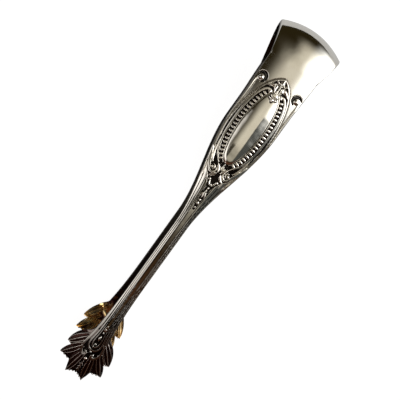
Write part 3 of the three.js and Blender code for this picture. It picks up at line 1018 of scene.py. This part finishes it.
def leaf_heights(x, y, rise, share):
    """Heights of the leaf's outer and inner face."""
    base = outer_line(x) - LEAF_BELOW_ARM - crown_drop(y, LEAF_DISH_RADIUS)
    outer = base + rise - LEAF_EDGE_FALL * share ** LEAF_EDGE_POWER
    sheet = lerp(LEAF_ROOT_SHEET, LEAF_SHEET, smooth(*LEAF_SHEET_IN, x))
    lobe_inside = lerp(base - sheet + LEAF_INNER_RELIEF * rise, outer - LEAF_RIM, share ** LEAF_RIM_POWER)
    inner = lerp(base - sheet, lobe_inside, smooth(*LEAF_INNER_IN, x))
    return outer, inner


def make_leaf(prefix, side, material):
    field_rings = np.linspace(LEAF_FIRST_RING, LEAF_RIM_START, LEAF_RINGS)
    rim_rings = np.linspace(LEAF_RIM_START, 1, LEAF_RIM_RINGS + 1)[1:]
    share = np.concatenate([field_rings, rim_rings])[:, None]
    at = HEART + share[..., None] * (leaf_outline() - HEART)
    x, y = at[..., 0], at[..., 1]
    rise = leaf_relief(x, y)
    outer, inner = leaf_heights(x, y, rise, share)
    points = np.concatenate([np.stack([x, y, outer], -1), np.stack([x, y, inner], -1)[::-1]])
    # Painted shade on the inner face: deep at the root, then in the valleys between the ribs.
    valley_shade = lerp(VALLEY_PAINTED_SHADE, 0.0, smooth(*VALLEY_SHADE_HEIGHTS, rise))
    leaf_inner_shade = lerp(ROOT_PAINTED_SHADE, valley_shade, smooth(*ROOT_SHADE_OUT, x))
    patina_and_shade = np.concatenate([1 - smooth(*LEAF_STAIN, rise), leaf_inner_shade[::-1]])
    gilding = np.concatenate([np.zeros_like(rise), np.ones_like(rise)])
    faces = tube_faces(*points.shape[:2])
    obj = build(f"{prefix}_leaf_relief", place(points, side), faces, patina_and_shade, gilding, material)
    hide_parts(f"{prefix}_leaf_claw")
    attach(obj, f"{prefix}_arm")


# Materials, light and camera


class Tree:
    """Node tree of a material or of the studio."""

    def __init__(self, tree):
        self.nodes = tree.nodes
        self.links = tree.links

    def feed(self, node, inputs):
        """Gives a node's inputs, by name or number, the output of another node or a constant."""
        for name, value in inputs.items():
            if isinstance(value, bpy.types.NodeSocket):
                self.links.new(value, node.inputs[name])
            else:
                node.inputs[name].default_value = value
        return node.outputs

    def coordinates(self, kind):
        return self.nodes.new("ShaderNodeTexCoord").outputs[kind]

    def camera_ray(self):
        return self.nodes.new("ShaderNodeLightPath").outputs["Is Camera Ray"]

    def attribute(self, name):
        node = self.nodes.new("ShaderNodeAttribute")
        node.attribute_name = name
        return node.outputs["Fac"]

    def axes(self, vector):
        return self.feed(self.nodes.new("ShaderNodeSeparateXYZ"), {"Vector": vector})

    def noise(self, vector, scale, detail, output="Fac"):
        inputs = {"Vector": vector, "Scale": scale, "Detail": detail}
        return self.feed(self.nodes.new("ShaderNodeTexNoise"), inputs)[output]

    def mix(self, factor, first, second, data_type="RGBA"):
        node = self.nodes.new("ShaderNodeMix")
        node.data_type = data_type
        return self.feed(node, {"Factor": factor, "A": first, "B": second})["Result"]

    def spread(self, value, low, high, to_low, to_high, steps="LINEAR"):
        """Value stretched from one range to another, and kept inside it."""
        node = self.nodes.new("ShaderNodeMapRange")
        node.interpolation_type = steps
        ranges = {"From Min": low, "From Max": high, "To Min": to_low, "To Max": to_high}
        return self.feed(node, {"Value": value, **ranges})["Result"]

    def ramp(self, value, start, end):
        """0 at start to 1 at end, smoothly."""
        low, high = sorted((start, end))
        return self.spread(value, low, high, float(start > end), float(start < end), "SMOOTHSTEP")

    def math(self, operation, first, second, clamp=False):
        node = self.nodes.new("ShaderNodeMath")
        node.operation = operation
        node.use_clamp = clamp
        return self.feed(node, {0: first, 1: second})["Value"]

    def product(self, values):
        total = values[0]
        for value in values[1:]:
            total = self.math("MULTIPLY", total, value)
        return total

    def vector(self, operation, inputs):
        node = self.nodes.new("ShaderNodeVectorMath")
        node.operation = operation
        return self.feed(node, inputs)["Vector"]

    def bump(self, height, distance_m, before=None):
        inputs = {"Height": height, "Distance": distance_m, "Strength": 1.0}
        if before is not None:
            inputs["Normal"] = before
        return self.feed(self.nodes.new("ShaderNodeBump"), inputs)["Normal"]


def new_material(name):
    material = bpy.data.materials.new(name)
    material.use_nodes = True
    return material, Tree(material.node_tree), material.node_tree.nodes["Principled BSDF"]


# Each metal: clean and worn colour, dark colour of tarnish and painted shade, roughness, unevenness in metres
METALS = {
    "polished_silver": ((0.90, 0.88, 0.82, 1), (0.84, 0.81, 0.75, 1), (0.012, 0.007, 0.006, 1), 0.085, 8e-5),
    "antiqued_silver": ((0.90, 0.88, 0.83, 1), (0.84, 0.81, 0.76, 1), (0.008, 0.005, 0.0045, 1), 0.075, 3e-5),
    "gilt_silver": ((0.84, 0.79, 0.76, 1), (0.70, 0.64, 0.60, 1), (0.034, 0.012, 0.010, 1), 0.09, 6e-5),
}
GOLD = (0.78, 0.50, 0.17, 1)
GOLD_WORN = (0.82, 0.66, 0.40, 1)
TARNISH_ROUGHNESS = 0.2

# Noise in the metal: its scale per metre and its detail
CLOUD = (420, 5)
DENT = (170, 2)
GRAIN = (5200, 3)
MOTTLE = (330, 1)
SCRATCH = (5600, 4)
SCRATCH_STRETCH = (0.05, 1, 1)

# How each noise is spread: its low and high value, and what they become
CLOUD_TO_WEAR = (0.35, 0.65, 0, 1)
MOTTLE_TO_STAIN = (0.38, 0.62, -0.35, 0.35)
GRAIN_TO_STAIN = (0.3, 0.6, 0.975, 1.0)
CLOUD_RANGE = (0.3, 0.7)
SMOOTHEST = 0.8
ROUGHEST = 1.25
SCRATCH_DEPTH = 3.0e-7
GRAIN_DEPTH = 2.5e-7


def silver(name, clean, worn, dark_colour, roughness, unevenness):
    """Silver with tarnished hollows, painted shade, gilding, fine scratches along the arms and slightly
    uneven metal.
    """
    material, tree, shader = new_material(name)
    spot = tree.coordinates("Object")
    cloud = tree.noise(spot, *CLOUD)
    grain = tree.noise(spot, *GRAIN)
    patina_and_shade = tree.attribute("patina_and_shade")
    gilding = tree.attribute("gilding")
    wear = tree.spread(cloud, *CLOUD_TO_WEAR)
    plated = tree.mix(gilding, tree.mix(wear, clean, worn), tree.mix(wear, GOLD, GOLD_WORN))
    darkening = silver_darkening(tree, spot, grain, patina_and_shade, gilding)
    smear = tree.spread(cloud, *CLOUD_RANGE, roughness * SMOOTHEST, roughness * ROUGHEST)
    tree.feed(shader, {
        "Metallic": 1.0,
        "Base Color": tree.mix(darkening, plated, dark_colour),
        "Roughness": tree.mix(patina_and_shade, smear, TARNISH_ROUGHNESS, "FLOAT"),
        "Normal": silver_surface(tree, spot, grain, unevenness),
    })
    return material


def silver_darkening(tree, spot, grain, patina_and_shade, gilding):
    """Share of dark colour: patina and painted shade, mottled over gilding and broken up by grain."""
    mottle = tree.spread(tree.noise(spot, *MOTTLE), *MOTTLE_TO_STAIN)
    stained = tree.math("ADD", patina_and_shade, tree.math("MULTIPLY", gilding, mottle), clamp=True)
    return tree.math("MULTIPLY", stained, tree.spread(grain, *GRAIN_TO_STAIN))


def silver_surface(tree, spot, grain, unevenness):
    """Normal of the metal: slight dents, scratches along the arms, and grain."""
    mapping = tree.nodes.new("ShaderNodeMapping")
    along = tree.feed(mapping, {"Vector": spot, "Scale": SCRATCH_STRETCH})["Vector"]
    uneven = tree.bump(tree.noise(spot, *DENT), unevenness)
    scratched = tree.bump(tree.noise(along, *SCRATCH), SCRATCH_DEPTH, uneven)
    return tree.bump(grain, GRAIN_DEPTH, scratched)


# Panels of light round the tongs: where each one fades in along the axes of its direction, the dark things
# that stand in front of it, and its colour
PANELS = [
    # Ceiling
    (
        [("Z", -0.12, 0.56), ("Y", -0.68, -0.02), ("X", 0.20, -0.02)],
        [
            [("Y", 0.33, 0.39), ("X", -0.18, -0.10)],
            [("X", 0.01, 0.05), ("X", 0.30, 0.22), ("Y", -0.50, -0.40), ("Y", -0.15, -0.23)],
            [("Y", 0.15, -0.29), ("X", -0.15, -0.95)],
        ],
        (0.66, 0.615, 0.51),
    ),
    # Window beyond the bow, and the wall beside it
    ([("Y", 0.14, 0.94), ("X", -0.03, -0.63), ("Z", -0.50, -0.08)], [], (6.0, 6.0, 5.9)),
    ([("Y", 0.28, 0.66), ("X", -0.04, -0.19), ("X", -0.55, -0.30), ("Z", 0.0, 0.2)], [], (1.0, 1.0, 0.97)),
    # Pale cards on the near side
    (
        [("Y", -0.10, -0.30), ("X", 0.03, 0.17), ("X", 0.46, 0.28), ("Z", 0.08, 0.24)],
        [[("X", 0.16, 0.10), ("Y", -0.46, -0.40)]],
        (1.25, 1.21, 1.16),
    ),
    ([("Y", -0.74, -0.88), ("X", 0.20, 0.40), ("X", 0.80, 0.68), ("Z", -0.10, 0.05)], [], (0.6, 0.58, 0.56)),
    ([("Y", -0.52, -0.68), ("X", -0.16, -0.02), ("X", 0.17, 0.03), ("Z", 0.05, 0.2)], [], (0.95, 0.92, 0.88)),
    # Low light on the far side, and a small card beyond the leaf
    ([("Y", 0.86, 0.96), ("X", 0.0, 0.20), ("Z", 0.0, 0.20)], [], (0.35, 0.34, 0.32)),
    ([("X", 0.50, 0.58), ("X", 0.80, 0.72), ("Y", -0.40, -0.32), ("Y", -0.06, -0.14)], [], (0.8, 0.77, 0.74)),
    # Maroon room beyond the leaf, and a slate strip on the far side
    ([("X", 0.10, 0.45), ("Z", -0.1, 0.2)], [], (0.060, 0.016, 0.010)),
    ([("Y", 0.31, 0.44), ("X", -0.25, -0.10), ("X", 0.3, 0.1), ("Z", 0.2, 0.5)], [], (0.05, 0.058, 0.062)),
]
ROOM = (0.020, 0.0145, 0.005)
WAVER = (0.05, 0.05, 0.05)
WAVER_NOISE = (3.0, 3)
MIDDLE_GREY = (0.5, 0.5, 0.5)
WHITE = (1, 1, 1, 1)


def panel_mask(tree, axes, fades):
    return tree.product([tree.ramp(axes[axis], start, end) for axis, start, end in fades])


def make_studio():
    """World of light panels. Its direction is bent a little, so that no reflection is ruler-straight."""
    world = bpy.data.worlds.new("studio")
    bpy.context.scene.world = world
    world.use_nodes = True
    tree = Tree(world.node_tree)
    direction = tree.coordinates("Generated")
    waver = tree.vector("SUBTRACT", {0: tree.noise(direction, *WAVER_NOISE, "Color"), 1: MIDDLE_GREY})
    axes = tree.axes(tree.vector("MULTIPLY_ADD", {0: waver, 1: WAVER, 2: direction}))
    light = ROOM
    for fades, shades, colour in PANELS:
        mask = panel_mask(tree, axes, fades)
        for shade in shades:
            uncovered = tree.spread(panel_mask(tree, axes, shade), 0, 1, 1, 0)
            mask = tree.math("MULTIPLY", mask, uncovered)
        panel = tree.vector("SCALE", {0: colour, "Scale": mask})
        light = tree.vector("ADD", {0: panel, 1: light})
    shown = tree.mix(tree.camera_ray(), light, WHITE)
    tree.feed(tree.nodes["Background"], {"Color": shown})


# Pale floor, in metres. It glows beyond the bow's crest, and is dim under the tongs.
FLOOR_HALF = 0.1
FLOOR_DROP = 0.0001
FLOOR_COLOUR = (0.15, 0.15, 0.15, 1)
FLOOR_ROUGHNESS = 0.9
FLOOR_SEEN = 0.96
FLOOR_GLOW = 0.42
FLOOR_DIM = 0.03
FLOOR_DIM_IN = (-0.064, -0.052)


def make_floor():
    mesh = bpy.data.meshes.new("floor")
    h = FLOOR_HALF
    mesh.from_pydata([(-h, -h, 0), (h, -h, 0), (h, h, 0), (-h, h, 0)], [], [(0, 1, 2, 3)])
    material, tree, shader = new_material("floor_white")
    along = tree.axes(tree.coordinates("Object"))["X"]
    glow = tree.spread(along, *FLOOR_DIM_IN, FLOOR_GLOW, FLOOR_DIM)
    tree.feed(shader, {
        "Base Color": FLOOR_COLOUR,
        "Roughness": FLOOR_ROUGHNESS,
        "Specular IOR Level": 0.0,
        "Emission Color": WHITE,
        "Emission Strength": tree.mix(tree.camera_ray(), glow, FLOOR_SEEN, "FLOAT"),
    })
    mesh.materials.append(material)
    floor = bpy.data.objects.new("floor", mesh)
    floor.location.z = -FLOOR_DROP
    bpy.context.scene.collection.objects.link(floor)


# Camera at the photograph's view, almost straight above the tongs, in metres
CAMERA_PLACE = (-0.01465, -0.01021, 0.17193)
CAMERA_RIGHT = (-0.58306, 0.81239, 0.00832)
CAMERA_DOWN = (0.80807, 0.57884, 0.10942)
CAMERA_FORWARD = (0.08408, 0.07052, -0.99396)
CAMERA_LENS = 51.39
CAMERA_SENSOR = 36
CAMERA_CLIP = 0.005


def make_camera():
    data = bpy.data.cameras.new("camera")
    data.lens = CAMERA_LENS
    data.sensor_width = CAMERA_SENSOR
    data.clip_start = CAMERA_CLIP
    camera = bpy.data.objects.new("camera", data)
    bpy.context.scene.collection.objects.link(camera)
    turn = Matrix([CAMERA_RIGHT, [-c for c in CAMERA_DOWN], [-c for c in CAMERA_FORWARD]]).transposed()
    camera.matrix_world = Matrix.Translation(CAMERA_PLACE) @ turn.to_4x4()
    bpy.context.scene.camera = camera


make_camera()
make_studio()
make_floor()

metals = {name: silver(name, *look) for name, look in METALS.items()}
for prefix, side in (("upper", 1), ("lower", -1)):
    make_bow_half(prefix, side, metals["polished_silver"])
    make_arm(prefix, side, metals["antiqued_silver"])
    make_plaque(prefix, side, metals["polished_silver"])
    make_beads(prefix, side, metals["antiqued_silver"])
    make_leaf(prefix, side, metals["gilt_silver"])

bpy.context.scene.view_settings.view_transform = "Standard"
